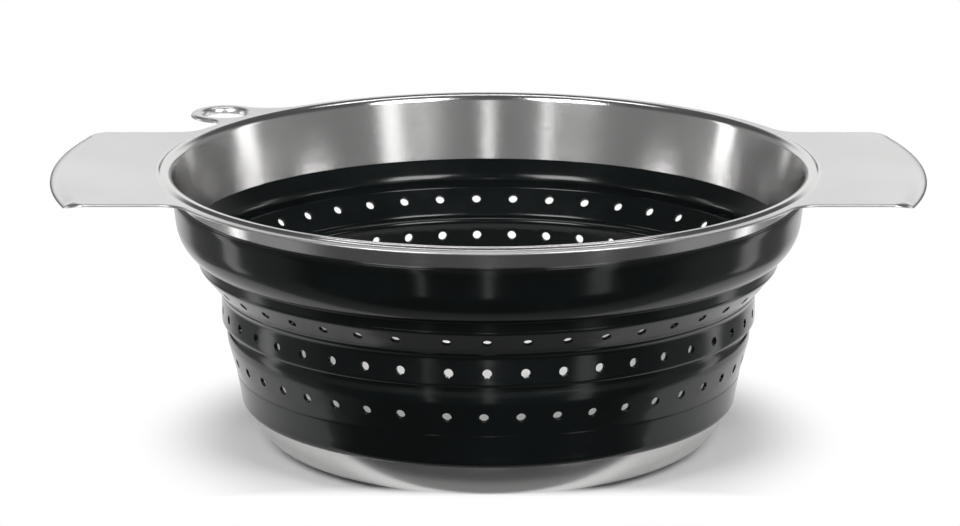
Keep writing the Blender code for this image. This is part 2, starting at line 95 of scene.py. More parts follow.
@dataclass(frozen=True)
class Profile:
    """Heights above the table and outer radii that more than one piece needs."""

    lower_band_foot: float = 0.0148
    lower_band_top: float = 0.0275
    lower_fold_top: float = 0.0456
    middle_band_top: float = 0.0599
    upper_fold_top: float = 0.0704
    upper_edge: float = 0.0751
    belly_top: float = 0.0862
    upper_band_top: float = 0.0958
    flange_top: float = 0.1042
    skirt_foot: float = 0.0804
    skirt_head: float = 0.1022
    crest_radius: float = 0.1215
    flange_radius: float = 0.1265
    skirt_head_radius: float = 0.1176
    skirt_foot_radius: float = 0.1121
    upper_band_radius: float = 0.11781
    belly_radius: float = 0.11671
    upper_edge_radius: float = 0.11101
    strip_radius: float = 0.10881
    upper_fold_radius: float = 0.10831
    middle_head_radius: float = 0.10071
    middle_radius: float = 0.09991
    groove_radius: float = 0.09761
    ledge_radius: float = 0.09811
    lower_band_radius: float = 0.09451
    curl_radius: float = 0.09281
    base_wall_radius: float = 0.08951
    base_corner: float = 0.0173
    base_flare: float = 0.0012
    base_wall_top: float = 0.0250
    sheet: float = 0.0008
    fold_wall: float = 0.0012

    def skirt_outer(self, height: float) -> float:
        """Outer radius of the rim's skirt at a height."""
        depth = self.skirt_head - self.skirt_foot
        taper = self.skirt_head_radius - self.skirt_foot_radius
        share = (self.skirt_head - height) / depth
        return self.skirt_head_radius - taper * share + self.sheet * math.hypot(taper, depth) / depth

    def base_outer(self, height: float) -> float:
        """Outer radius of the base dish's wall at a height above its rounded corner."""
        share = (height - self.base_corner) / (self.base_wall_top - self.base_corner)
        return self.base_wall_radius + self.base_flare * share


# Lines in the bowl's section, as (radius, height) points


def arc(centre: Point, radii: Point, start: float, end: float, steps: int) -> list[Point]:
    """Points of an elliptical arc, both ends included.

    Args:
        centre: centre of the ellipse.
        radii: half width and half height.
        start: first angle in degrees.
        end: last angle in degrees.
        steps: number of chords.

    Returns:
        The points in order.
    """
    turns = [math.radians(start + (end - start) * step / steps) for step in range(steps + 1)]
    return [(centre[0] + radii[0] * math.cos(t), centre[1] + radii[1] * math.sin(t)) for t in turns]


def eased(line: Sequence[Point], reach: float, steps: int = 4) -> list[Point]:
    """Round the inner corners of an open line.

    Args:
        line: the corner points.
        reach: how far along each side a round starts, at most 0.45 of that side.
        steps: chords in each round.

    Returns:
        The line with a quadratic curve in place of each inner corner.
    """
    points = [Vector(p) for p in line]
    made = [tuple(points[0])]
    for before, corner, after in zip(points, points[1:], points[2:]):
        back, ahead = before - corner, after - corner
        first = corner + back * min(reach / back.length, 0.45)
        last = corner + ahead * min(reach / ahead.length, 0.45)
        for step in range(steps + 1):
            share = step / steps
            made.append(tuple(first.lerp(corner, share).lerp(corner.lerp(last, share), share)))
    made.append(tuple(points[-1]))
    return made


def stepped(line: Sequence[Point], longest: float) -> list[Point]:
    """The same line with its long straight stretches cut into equal pieces."""
    made = [line[0]]
    for before, after in zip(line, line[1:]):
        start, end = Vector(before), Vector(after)
        pieces = max(1, math.ceil((end - start).length / longest))
        made += [tuple(start.lerp(end, piece / pieces)) for piece in range(1, pieces + 1)]
    return made


def matched(line: Sequence[Point], count: int) -> list[Point]:
    """The same line drawn with another number of points, both ends kept."""
    points = [Vector(p) for p in line]
    reach = [0.0]
    for before, after in zip(points, points[1:]):
        reach.append(reach[-1] + (after - before).length)
    made = []
    for step in range(count):
        goal = reach[-1] * step / (count - 1)
        index = max(i for i in range(len(points) - 1) if reach[i] <= goal + 1e-12)
        share = (goal - reach[index]) / (reach[index + 1] - reach[index])
        made.append(tuple(points[index].lerp(points[index + 1], min(share, 1.0))))
    return made


def heading(angle: float) -> Vector:
    """Unit vector in plan at an angle in radians."""
    return Vector((math.cos(angle), math.sin(angle)))


# Meshes


def spin_line(bm: BMesh, line: Sequence[Point], closed: bool) -> None:
    """Turn a line about the bowl's axis.

    Args:
        bm: mesh to add to.
        line: the section's points.
        closed: whether the last point joins the first.
    """
    verts = [bm.verts.new((radius, 0, height)) for radius, height in line]
    pairs = list(zip(verts, verts[1:])) + ([(verts[-1], verts[0])] if closed else [])
    edges = [bm.edges.new(pair) for pair in pairs]
    bmesh.ops.spin(
        bm, geom=verts + edges, cent=(0, 0, 0), axis=(0, 0, 1), dvec=(0, 0, 0),
        angle=math.tau, steps=ROUND, use_merge=True, use_duplicate=False)


def edge_loop(bm: BMesh, places: Sequence[Vector]) -> list[BMEdge]:
    """A closed loop of new edges through the places."""
    verts = [bm.verts.new(place) for place in places]
    return [bm.edges.new((vert, verts[index - 1])) for index, vert in enumerate(verts)]


def verts_of(geometry: Sequence[object]) -> list[BMVert]:
    """The vertices in an operator's result."""
    return [item for item in geometry if isinstance(item, BMVert)]


def draw_out(bm: BMesh, edges: list[BMEdge], move: Callable[[Vector], Vector]) -> list[BMEdge]:
    """Extrude open edges and move the new ones.

    Args:
        bm: mesh to work on.
        edges: the edges to extrude.
        move: gives a new vertex its place from the old one.

    Returns:
        The new edges.
    """
    made = bmesh.ops.extrude_edge_only(bm, edges=edges)["geom"]
    for vert in verts_of(made):
        vert.co = move(vert.co.copy())
    return [item for item in made if isinstance(item, BMEdge)]


def face_up(bm: BMesh) -> None:
    """Make one sheet's faces agree, with its level ones looking up."""
    bmesh.ops.recalc_face_normals(bm, faces=bm.faces)
    level = [face for face in bm.faces if abs(face.normal.z) > 0.999]
    if sum(face.normal.z * face.calc_area() for face in level) < 0:
        bmesh.ops.reverse_faces(bm, faces=bm.faces)


@dataclass(frozen=True)
class Piece:
    """A finished piece: what it is called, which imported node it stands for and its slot."""

    name: str
    node: str
    slot: Slot

    def place(self, bm: BMesh, materials: Sequence[Material], sharp: float) -> Object:
        """Turn a bmesh into a smooth-shaded object with its materials.

        Args:
            bm: the finished mesh, freed here.
            materials: one material per index used by the faces.
            sharp: angle in degrees past which an edge stays crisp.

        Returns:
            The object, at the origin, standing for its node.
        """
        mesh = bpy.data.meshes.new(self.name)
        bm.to_mesh(mesh)
        bm.free()
        mesh.shade_smooth()
        mesh.set_sharp_from_angle(angle=math.radians(sharp))
        for material in materials:
            mesh.materials.append(material)
        item = bpy.data.objects.new(self.name, mesh)
        bpy.context.collection.objects.link(item)
        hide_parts(self.node)
        log.info("%s: %d faces", self.name, len(mesh.polygons))
        return item


def thicken(item: Object, thickness: float, offset: float, edge_round: float) -> None:
    """Give a single sheet its thickness and soften its cut edges.

    Args:
        item: object whose mesh is one sheet.
        thickness: sheet thickness.
        offset: -1 keeps the drawn face on top, 0 keeps it in the middle.
        edge_round: width of the bevel along cut edges.
    """
    solidify = item.modifiers.new("sheet", "SOLIDIFY")
    solidify.thickness = thickness
    solidify.offset = offset
    solidify.use_even_offset = True
    solidify.use_quality_normals = True
    bevel = item.modifiers.new("cut_edges", "BEVEL")
    bevel.width = edge_round
    bevel.segments = 2
    bevel.limit_method = "ANGLE"
    bevel.angle_limit = math.radians(60)
    even = item.modifiers.new("even_shading", "WEIGHTED_NORMAL")
    even.keep_sharp = True


# Finishes


class NodeSheet:
    """A short way to add and join shader nodes in one tree."""

    def __init__(self, tree: NodeTree) -> None:
        """Keep the tree that nodes are added to."""
        self.tree = tree

    def add(self, kind: str, **settings: object) -> Node:
        """Add a node; settings named i0, i1, ... or with a socket's name fill its inputs."""
        node = self.tree.nodes.new(kind)
        for key, value in settings.items():
            if hasattr(node, key):
                setattr(node, key, value)
            elif key.startswith("i") and key[1:].isdigit():
                self.feed(node.inputs[int(key[1:])], value)
            else:
                self.feed(node.inputs[key.replace("_", " ")], value)
        return node

    def feed(self, socket: NodeSocket, value: Feed) -> None:
        """Link a socket to another socket, or set its value."""
        if isinstance(value, NodeSocket):
            self.tree.links.new(value, socket)
        else:
            socket.default_value = value

    def math(self, operation: str, *values: Feed) -> NodeSocket:
        """A Math node's result."""
        node = self.add("ShaderNodeMath", operation=operation)
        for index, value in enumerate(values):
            self.feed(node.inputs[index], value)
        return node.outputs[0]

    def plus(self, first: Feed, second: Feed) -> NodeSocket:
        """The sum of two values."""
        return self.math("ADD", first, second)

    def times(self, first: Feed, second: Feed) -> NodeSocket:
        """The product of two values."""
        return self.math("MULTIPLY", first, second)

    def larger(self, first: Feed, second: Feed) -> NodeSocket:
        """The larger of two values."""
        return self.math("MAXIMUM", first, second)

    def mix(self, share: Feed, first: Feed, second: Feed) -> NodeSocket:
        """A value between two others, the first at a share of 0 and the second at 1."""
        node = self.add("ShaderNodeMix", data_type="FLOAT", i0=share, i2=first, i3=second)
        return node.outputs[0]

    def ramp(self, value: NodeSocket, low: float, high: float, first: float = 0.0,
             last: float = 1.0) -> NodeSocket:
        """A value mapped smoothly from low..high to first..last."""
        node = self.add("ShaderNodeMapRange", interpolation_type="SMOOTHSTEP", i0=value)
        for index, number in enumerate((low, high, first, last), start=1):
            node.inputs[index].default_value = number
        return node.outputs[0]

    def noise(self, vector: NodeSocket, scale: Feed, detail: float,
              roughness: float = 0.5) -> NodeSocket:
        """A noise value from 0 to 1."""
        node = self.add(
            "ShaderNodeTexNoise", Vector=vector, Scale=scale, Detail=detail, Roughness=roughness)
        return node.outputs["Fac"]


def new_group(name: str, inputs: Sequence[tuple[str, str, object]],
              output: str) -> tuple[NodeTree, NodeSheet]:
    """Start a shader node group.

    Args:
        name: the group's name.
        inputs: name, socket type and default of each input.
        output: name of the value that it puts out.

    Returns:
        The group and a sheet to add its nodes with.
    """
    group = bpy.data.node_groups.new(name, "ShaderNodeTree")
    for label, kind, default in inputs:
        socket = group.interface.new_socket(name=label, in_out="INPUT", socket_type=kind)
        if default is not None:
            socket.default_value = default
    group.interface.new_socket(name=output, in_out="OUTPUT", socket_type="NodeSocketFloat")
    return group, NodeSheet(group)


def turning_marks_group() -> NodeTree:
    """Fine lines that run round the bowl's axis, as a polishing wheel leaves them.

    Returns:
        A group from Vector and Density to Lines, from 0 to 1.
    """
    across, along, slant = 9000.0, 14.0, 1.7
    group, sheet = new_group(
        "Turning Marks",
        [("Vector", "NodeSocketVector", None), ("Density", "NodeSocketFloat", 1.0)], "Lines")
    ends = sheet.add("NodeGroupInput")
    x, y, z = sheet.add("ShaderNodeSeparateXYZ", Vector=ends.outputs["Vector"]).outputs
    reach = sheet.math("SQRT", sheet.plus(sheet.times(x, x), sheet.times(y, y)))
    density = sheet.times(ends.outputs["Density"], across)
    drift = sheet.times(sheet.plus(x, sheet.times(y, slant)), along)
    place = sheet.add("ShaderNodeCombineXYZ", i0=sheet.times(reach, density),
                      i1=sheet.times(z, density), i2=drift)
    lines = sheet.noise(place.outputs[0], 1.0, detail=2.0, roughness=0.6)
    sheet.add("NodeGroupOutput", Lines=lines)
    return group


def handling_haze_group() -> NodeTree:
    """Broad, soft patches of handling haze.

    Returns:
        A group from Vector and Size to Haze, from 0 to 1.
    """
    finer, fine_share, thin, thick = 7.0, 0.25, 0.35, 0.65
    group, sheet = new_group(
        "Handling Haze",
        [("Vector", "NodeSocketVector", None), ("Size", "NodeSocketFloat", 0.03)], "Haze")
    ends = sheet.add("NodeGroupInput")
    scale = sheet.math("DIVIDE", 1.0, ends.outputs["Size"])
    broad = sheet.noise(ends.outputs["Vector"], scale, detail=3.0)
    fine = sheet.noise(ends.outputs["Vector"], sheet.times(scale, finer), detail=4.0)
    mixed = sheet.plus(sheet.times(broad, 1.0 - fine_share), sheet.times(fine, fine_share))
    sheet.add("NodeGroupOutput", Haze=sheet.ramp(mixed, thin, thick))
    return group


@dataclass(frozen=True)
class Effects:
    """The effects that several finishes share."""

    turning: NodeTree
    haze: NodeTree


class FinishSheet(NodeSheet):
    """One material's nodes, with its shader, its Object coordinates and its haze at hand."""

    def __init__(self, name: str, streak: float, haze_size: float, effects: Effects) -> None:
        """Start a material whose gloss is drawn out round the bowl's axis."""
        self.material = bpy.data.materials.new(name)
        self.material.use_nodes = True
        super().__init__(self.material.node_tree)
        self.shader = self.tree.nodes["Principled BSDF"]
        self.shader.inputs["Anisotropic"].default_value = streak
        self.shader.inputs["Anisotropic Rotation"].default_value = 0.25
        self.where = self.add("ShaderNodeTexCoord").outputs["Object"]
        self.haze = self.add("ShaderNodeGroup", node_tree=effects.haze, Vector=self.where,
                             Size=haze_size).outputs["Haze"]

    def finished(self, colour: NodeSocket, roughness: NodeSocket, relief: NodeSocket,
                 strength: float, depth: float) -> Material:
        """Join the looks to the shader.

        Args:
            colour: base colour.
            roughness: roughness.
            relief: height of the surface, from 0 to 1.
            strength: strength of the bump.
            depth: height in metres that a relief of 1 stands for.

        Returns:
            The finished material.
        """
        bump = self.add("ShaderNodeBump", Height=relief, Strength=strength, Distance=depth)
        self.feed(self.shader.inputs["Base Color"], colour)
        self.feed(self.shader.inputs["Roughness"], roughness)
        self.feed(self.shader.inputs["Normal"], bump.outputs[0])
        return self.material


@dataclass(frozen=True)
class SteelFinish:
    """Polished stainless steel with fine marks round the bowl's axis.

    The marks and the haze move the roughness about its named value, and the marks the tone.
    """

    name: str
    colour: Colour = (0.68, 0.675, 0.67)
    tone_low: float = 0.96
    tone_spread: float = 0.08
    roughness: float = 0.16
    spread: float = 0.06
    streak: float = 0.6
    density: float = 1.0
    mark_strength: float = 0.35
    mark_depth: float = 0.00002
    haze_size: float = 0.035
    haze_share: float = 0.5

    def material(self, effects: Effects) -> Material:
        """Build the material.

        Args:
            effects: the shared node groups.

        Returns:
            The finished material.
        """
        sheet = FinishSheet(self.name, self.streak, self.haze_size, effects)
        sheet.shader.inputs["Metallic"].default_value = 1.0
        lines = sheet.add("ShaderNodeGroup", node_tree=effects.turning, Vector=sheet.where,
                          Density=self.density).outputs["Lines"]
        clouds = sheet.times(sheet.haze, self.spread * self.haze_share)
        wear = sheet.plus(sheet.times(lines, self.spread), clouds)
        mean_wear = self.spread * (1 + self.haze_share) / 2
        rough = sheet.plus(wear, self.roughness - mean_wear)
        tone = sheet.plus(sheet.times(lines, self.tone_spread), self.tone_low)
        colour = sheet.add("ShaderNodeVectorMath", operation="SCALE", i0=self.colour, Scale=tone)
        return sheet.finished(
            colour.outputs[0], rough, lines, self.mark_strength, self.mark_depth)


@dataclass(frozen=True)
class SiliconeFinish:
    """Glossy black silicone from a turned mould.

    The haze moves the roughness about its named value and makes the colour lighter.
    """

    name: str
    colour: Colour = (0.0030, 0.0045, 0.0045)
    lighter: float = 1.5
    roughness: float = 0.17
    spread: float = 0.06
    ior: float = 1.41
    streak: float = 0.3
    haze_size: float = 0.04
    ripple_scale: float = 28.0
    ripple_strength: float = 0.5
    ripple_depth: float = 0.0006

    def material(self, effects: Effects) -> Material:
        """Build the material.

        Args:
            effects: the shared node groups.

        Returns:
            The finished material.
        """
        sheet = FinishSheet(self.name, self.streak, self.haze_size, effects)
        sheet.shader.inputs["IOR"].default_value = self.ior
        rough = sheet.plus(sheet.times(sheet.haze, self.spread), self.roughness - self.spread / 2)
        hazed = tuple(channel * self.lighter for channel in self.colour)
        tint = sheet.add("ShaderNodeMix", data_type="RGBA", i0=sheet.haze,
                         i6=(*self.colour, 1.0), i7=(*hazed, 1.0))
        ripple = sheet.noise(sheet.where, self.ripple_scale, detail=1.0)
        return sheet.finished(
            tint.outputs[2], rough, ripple, self.ripple_strength, self.ripple_depth)


# The silicone wall


@dataclass(frozen=True)
class HoleRow:
    """A row of round holes; one pitch is wider than the others by the extra.

    Angles are in degrees. The collars say how much wider each loop of edges round a hole is than the
    loop inside it.
    """

    turn: float = 0.0
    first: float = 261.8
    extra: float = 2.25
    count: int = 45
    diameter: float = 0.0034
    sides: int = 24
    collars: Point = (1.18, 1.3)

    @property
    def pitch(self) -> float:
        """Angle between neighbouring holes, in radians."""
        return math.radians(360 - self.extra) / self.count


@dataclass(frozen=True)
class PerforatedWall:
    """A turned wall with one row of holes in a straight stretch of its section.

    The lines run down the wall. The stretch with the holes joins the last point above to the first
    point below. With inner lines the wall is a closed body, and without them a single sheet.
    """

    row: HoleRow
    above: Sequence[Point]
    below: Sequence[Point]
    inner_above: Sequence[Point] = ()
    inner_below: Sequence[Point] = ()

    def mesh(self) -> BMesh:
        """Build the wall flat, then wrap it round the axis.

        Returns:
            The wall's mesh.
        """
        top, foot = Vector(self.above[-1]), Vector(self.below[0])
        height = (top - foot).length
        centre_radius = (top.x + foot.x) / 2
        width = self.row.pitch * centre_radius
        bm = bmesh.new()
        self._tiles(bm, width, height)
        self._rows(bm, height, 1, len(self.above) - 1)
        self._rows(bm, height, -1, len(self.below) - 1)
        if self.inner_above:
            made = bmesh.ops.extrude_face_region(bm, geom=list(bm.faces))["geom"]
            for vert in verts_of(made):
                vert.co.z = -1.0
            self._open_ends(bm)
        for vert in bm.verts:
            self._wrap(vert, height, centre_radius)
        bmesh.ops.remove_doubles(bm, verts=bm.verts, dist=MERGE)
        bmesh.ops.recalc_face_normals(bm, faces=bm.faces)
        return bm

    def _tiles(self, bm: BMesh, width: float, height: float) -> None:
        """Lay flat tiles side by side, each with one hole, and the filler of the wider pitch."""
        half_width, half_height = width / 2, height / 2
        bmesh.ops.create_circle(
            bm, cap_ends=False, segments=self.row.sides, radius=self.row.diameter / 2)
        edges = bm.edges[:]

        def to_side(place: Vector) -> Vector:
            """The point of the tile's outline that belongs to a point round its hole."""
            turn = math.degrees(math.atan2(place.y, place.x)) % 360
            side, share = divmod(turn + 45, 90)
            along = 2 * share / 90 - 1
            sides = ((half_width, half_height * along), (-half_width * along, half_height),
                     (-half_width, -half_height * along), (half_width * along, -half_height))
            return Vector((*sides[int(side) % 4], 0))

        for wider in self.row.collars:
            edges = draw_out(bm, edges, lambda place: place * wider)
        draw_out(bm, edges, to_side)
        tile = list(bm.verts) + list(bm.edges) + list(bm.faces)
        for copy in range(1, self.row.count):
            made = bmesh.ops.duplicate(bm, geom=tile)["geom"]
            bmesh.ops.translate(bm, verts=verts_of(made), vec=(width * copy, 0, 0))
        bmesh.ops.remove_doubles(bm, verts=bm.verts, dist=MERGE)
        far = width * (self.row.count - 0.5)
        side = [edge for edge in bm.edges if all(abs(vert.co.x - far) < MERGE for vert in edge.verts)]
        step = math.radians(self.row.extra) * width / self.row.pitch / 2
        for _ in range(2):
            side = draw_out(bm, side, lambda place: place + Vector((step, 0, 0)))

    def _rows(self, bm: BMesh, height: float, way: int, count: int) -> None:
        """Add plain rows above or below the tiles; each row lies one unit further out."""
        level = way * height / 2
        border = [edge for edge in bm.edges
                  if all(abs(vert.co.y - level) < MERGE for vert in edge.verts)]
        for _ in range(count):
            border = draw_out(bm, border, lambda place: place + Vector((0, way, 0)))

    @staticmethod
    def _open_ends(bm: BMesh) -> None:
        """Take away the faces at the two ends that meet when the slab is wrapped."""
        ends = min(vert.co.x for vert in bm.verts), max(vert.co.x for vert in bm.verts)
        faces = [face for face in bm.faces
                 if any(all(abs(vert.co.x - end) < MERGE for vert in face.verts) for end in ends)]
        bmesh.ops.delete(bm, geom=faces, context="FACES")

    def _wrap(self, vert: BMVert, height: float, centre_radius: float) -> None:
        """Move a flat vertex to its place on the wall; those of the inner face lie a unit lower."""
        above, below = self.above, self.below
        if vert.co.z < -0.5:
            above, below = self.inner_above, self.inner_below
        level = vert.co.y
        if level > height / 2 + 0.5:
            radius, rise = above[len(above) - 1 - round(level - height / 2)]
        elif level < -height / 2 - 0.5:
            radius, rise = below[round(-height / 2 - level)]
        else:
            radius, rise = Vector(above[-1]).lerp(Vector(below[0]), 0.5 - level / height)
        angle = math.radians(self.row.first + self.row.turn) + vert.co.x / centre_radius
        vert.co = (radius * math.cos(angle), radius * math.sin(angle), rise)


@dataclass
class FoldingWall:
    """The silicone moulding: two bands on the steel, one between them, and two folding cones.

    The belly's arc is in degrees below level, and the row shares say how far down its cone a row of
    holes lies.
    """

    finish: Material
    profile: Profile = Profile()
    belly_arc: Point = (6.0, 55.0)
    head_round: float = 0.0005
    edge_round: float = 0.0006
    step_width: float = 0.0001
    step_drops: Point = (0.0011, 0.0016)
    bore_drop: float = 0.0010
    bore_round: float = 0.0024
    hinge: float = 0.0007
    cone_round: float = 0.0010
    cone_step: float = 0.002
    cut_round: float = 0.00006
    row_reach: float = 0.0034
    upper_row_share: float = 0.43
    lower_row_share: float = 0.42
    groove_drop: float = 0.0006
    ledge_drop: float = 0.0019
    ledge_height: float = 0.0030
    ledge_taper: float = 0.0002
    middle_row_height: float = 0.0527
    middle_wall: float = 0.0015
    middle_head_drops: Point = (0.0003, 0.0015)
    middle_head_round: float = 0.0007
    inner_bead: float = 0.0007
    inner_bead_round: Point = (0.0006, 0.0016)
    inner_bead_drops: Point = (0.0020, 0.0022)
    toe_rise: float = 0.0028
    toe_rounds: Point = (0.0015, 0.0016)
    toe_lead: float = 0.0002
    curl: Point = (0.0030, 0.0034)
    lip_lead: float = 0.0003

    def build(self) -> None:
        """Make the five pieces and mount the three bands."""
        self._upper_band()
        self._upper_fold()
        self._middle_band()
        self._lower_fold()
        self._lower_band()

    def _placed(self, node: str, bm: BMesh) -> Object:
        """Dress the piece that stands for a node."""
        return Piece("silicone_" + node, node, Slot.SILICONE).place(bm, [self.finish], sharp=50)

    def _turned(self, node: str, line: Sequence[Point], body: Body) -> None:
        """Turn a closed section and mount it."""
        bm = bmesh.new()
        spin_line(bm, line, closed=True)
        bmesh.ops.recalc_face_normals(bm, faces=bm.faces)
        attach(self._placed(node, bm), body.value)

    def _upper_band(self) -> None:
        """Convex band round the skirt, with its crisp lower edge, step and strip."""
        p = self.profile
        top, foot, seat = p.upper_band_top, p.upper_fold_top + SEAM, p.skirt_foot - SEAM
        start, end = (math.radians(angle) for angle in self.belly_arc)
        depth = (p.belly_top - p.upper_edge) / (math.sin(end) - math.sin(start))
        draw = (p.belly_radius - p.upper_edge_radius) / (math.cos(start) - math.cos(end))
        centre = (p.belly_radius - draw * math.cos(start), p.belly_top + depth * math.sin(start))
        belly = arc(centre, (draw, depth), -self.belly_arc[0], -self.belly_arc[1], 14)
        head = arc((p.upper_band_radius - self.head_round, top - self.head_round),
                   (self.head_round, self.head_round), 90, 0, 3)
        flank = stepped([head[-1], belly[0]], WALL_STEP)
        under = eased([belly[-2], belly[-1],
                       (p.strip_radius + self.step_width, p.upper_edge - self.step_drops[0]),
                       (p.strip_radius, p.upper_edge - self.step_drops[1]),
                       (p.upper_fold_radius, foot)], self.edge_round)
        outer = head + flank[1:] + belly[1:-2] + under
        bore = p.upper_fold_radius - p.fold_wall
        inner = eased([(bore, foot), (bore, p.upper_edge - self.bore_drop),
                       (p.skirt_foot_radius, seat)], self.bore_round, 8)
        inner += [(p.skirt_outer(seat) + SEAM, seat), (p.skirt_outer(top) + SEAM, top)]
        self._turned("upper_band", outer + inner, Body.RIM)

    def _fold(self, node: str, line: Sequence[Point], share: float, stretch: int, row: HoleRow) -> None:
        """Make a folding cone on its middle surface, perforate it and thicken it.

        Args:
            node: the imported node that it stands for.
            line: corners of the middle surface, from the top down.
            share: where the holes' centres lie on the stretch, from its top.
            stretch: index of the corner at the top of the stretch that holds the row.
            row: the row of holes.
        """
        start, end = Vector(line[stretch]), Vector(line[stretch + 1])
        run = (end - start).normalized()
        centre = start.lerp(end, share)
        head, foot = tuple(centre - run * self.row_reach), tuple(centre + run * self.row_reach)
        above = eased([*line[:stretch + 1], head], self.cone_round)
        below = eased([foot, *line[stretch + 1:]], self.cone_round)
        wall = PerforatedWall(row, stepped(above, self.cone_step), stepped(below, self.cone_step))
        item = self._placed(node, wall.mesh())
        thicken(item, self.profile.fold_wall, 0.0, self.cut_round)
        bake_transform(item)

    def _upper_fold(self) -> None:
        """The wide cone with the first row of holes."""
        p = self.profile
        half = p.fold_wall / 2
        head, toe = p.upper_fold_radius - half, p.middle_head_radius - half
        top, foot = p.upper_fold_top - SEAM, p.middle_band_top + SEAM
        line = [(head, top), (head, top - self.hinge), (toe, foot + self.hinge), (toe, foot)]
        self._fold("upper_fold", line, self.upper_row_share, 1, HoleRow())

    def _middle_band(self) -> None:
        """The upright band with the second row of holes and a soft bead inside its head."""
        p = self.profile
        top, foot = p.middle_band_top - SEAM, p.lower_fold_top + SEAM
        toe = foot + self.toe_rise
        row_top = self.middle_row_height + self.row_reach
        row_foot = self.middle_row_height - self.row_reach
        bore, groove_bore = p.middle_radius - self.middle_wall, p.groove_radius - p.fold_wall
        upper = eased([(p.middle_head_radius, top),
                       (p.middle_head_radius, top - self.middle_head_drops[0]),
                       (p.middle_radius, top - self.middle_head_drops[1]),
                       (p.middle_radius, row_top)], self.middle_head_round)
        lower = [(p.middle_radius, row_foot)]
        lower += arc((p.groove_radius, toe),
                     (p.middle_radius - p.groove_radius, self.toe_rounds[0]), 0, -90, 6)
        lower += [(p.groove_radius, foot)]
        centre = bore + self.inner_bead_round[0]
        radii = (centre - (bore - self.inner_bead), self.inner_bead_round[1])
        inner_top = [(p.middle_head_radius - p.fold_wall, top)]
        inner_top += arc((centre, top - self.inner_bead_drops[0]), radii, 120, 180, 4)
        inner_top += arc((centre, top - self.inner_bead_drops[1]), radii, 180, 215, 3)
        inner_top += [(bore, row_top)]
        inner_low = [(bore, row_foot), (bore, toe + self.toe_lead)]
        inner_low += arc((groove_bore, toe),
                         (bore - p.groove_radius + p.fold_wall, self.toe_rounds[1]), 0, -90, 5)
        inner_low += [(groove_bore, foot)]
        wall = PerforatedWall(HoleRow(), matched(upper, len(inner_top)),
                              matched(lower, len(inner_low)), inner_top, inner_low)
        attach(self._placed("middle_band", wall.mesh()), Body.MIDDLE.value)

    def _lower_fold(self) -> None:
        """The groove, the ledge and the narrow cone with the third row of holes."""
        p = self.profile
        half = p.fold_wall / 2
        groove, toe = p.groove_radius - half, p.lower_band_radius - half
        top, foot = p.lower_fold_top - SEAM, p.lower_band_top + SEAM
        ledge_top = p.lower_fold_top - self.ledge_drop
        line = [(groove, top), (groove, top - self.groove_drop), (p.ledge_radius - half, ledge_top),
                (p.ledge_radius - self.ledge_taper - half, ledge_top - self.ledge_height),
                (toe, foot + self.hinge), (toe, foot)]
        self._fold("lower_fold", line, self.lower_row_share, 3, HoleRow(turn=-0.7))

    def _lower_band(self) -> None:
        """The band round the base's wall, with its curled foot."""
        p = self.profile
        top, wall_top = p.lower_band_top - SEAM, p.base_wall_top + SEAM
        centre = (p.curl_radius - self.curl[0], p.lower_band_foot + self.curl[1])
        curl = arc(centre, self.curl, 0, -78, 8)
        outer = stepped([(p.lower_band_radius, top), curl[0]], WALL_STEP) + curl[1:]
        corner, head = p.base_outer(p.base_corner), p.base_outer(wall_top)
        bore = p.lower_band_radius - p.fold_wall
        inner = [(corner + SEAM, curl[-1][1]), (corner + SEAM, p.base_corner),
                 (head + SEAM, wall_top)]
        inner += eased([(head - p.sheet, wall_top), (head - p.sheet, wall_top + self.lip_lead),
                        (bore, top - self.edge_round), (bore, top)], self.edge_round)
        self._turned("lower_band", outer + inner, Body.BASE)


# The steel pieces


@dataclass
class BaseDish:
    """The pressed dish: wall, rounded corner, foot ring and a raised, punched floor."""

    # The inside's lighter colour is painted light, and the outside's darker colour is painted shade.
    inside: Material
    outside: Material
    profile: Profile = Profile()
    foot_ring: float = 0.0090
    floor_rise: float = 0.0016
    floor_ramp: float = 0.0030
    ramp_lead: float = 0.0004
    ramp_tail: float = 0.004
    ramp_round: float = 0.0012
    hole_diameter: float = 0.0045
    hole_pitch: float = 0.0150
    hole_rings: int = 3
    hole_sides: int = 20
    cut_round: float = 0.00015

    def build(self) -> None:
        """Draw the dish's inner face, give it its sheet and mount it."""
        p = self.profile
        foot = p.base_wall_radius - p.base_corner
        corner = arc((foot, p.base_corner), (p.base_corner - p.sheet,) * 2, 0, -90, 16)
        head = (p.base_outer(p.base_wall_top) - p.sheet, p.base_wall_top)
        wall = stepped([head, corner[0]], WALL_STEP)
        floor, level = foot - self.foot_ring, p.sheet + self.floor_rise
        ramp = eased([corner[-1], (floor + self.ramp_lead, p.sheet),
                      (floor - self.floor_ramp, level),
                      (floor - self.floor_ramp - self.ramp_tail, level)], self.ramp_round)
        bm = bmesh.new()
        spin_line(bm, wall[:-1] + corner + ramp[1:], closed=False)
        rim = [edge for edge in bm.edges
               if edge.is_boundary and edge.verts[0].co.z < p.base_corner / 2]
        turns = [math.tau * step / self.hole_sides for step in range(self.hole_sides)]
        for place in self._holes():
            rim += edge_loop(bm, [
                Vector((*(place + heading(turn) * self.hole_diameter / 2), level)) for turn in turns])
        bmesh.ops.triangle_fill(bm, use_beauty=True, use_dissolve=False, edges=rim, normal=(0, 0, 1))
        face_up(bm)
        piece = Piece("steel_base_dish", "base_dish", Slot.STEEL)
        item = piece.place(bm, [self.inside, self.outside], sharp=35)
        thicken(item, p.sheet, -1.0, self.cut_round)
        # The outer face takes the dish steel, whose darker colour is painted shade.
        item.modifiers["sheet"].material_offset = 1
        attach(item, Body.BASE.value)

    def _holes(self) -> list[Vector]:
        """Centres of the floor's holes: one in the middle and rings round it."""
        places = [Vector((0, 0))]
        for ring in range(1, self.hole_rings + 1):
            places += [heading(math.tau * hole / (6 * ring)) * self.hole_pitch * ring
                       for hole in range(6 * ring)]
        return places


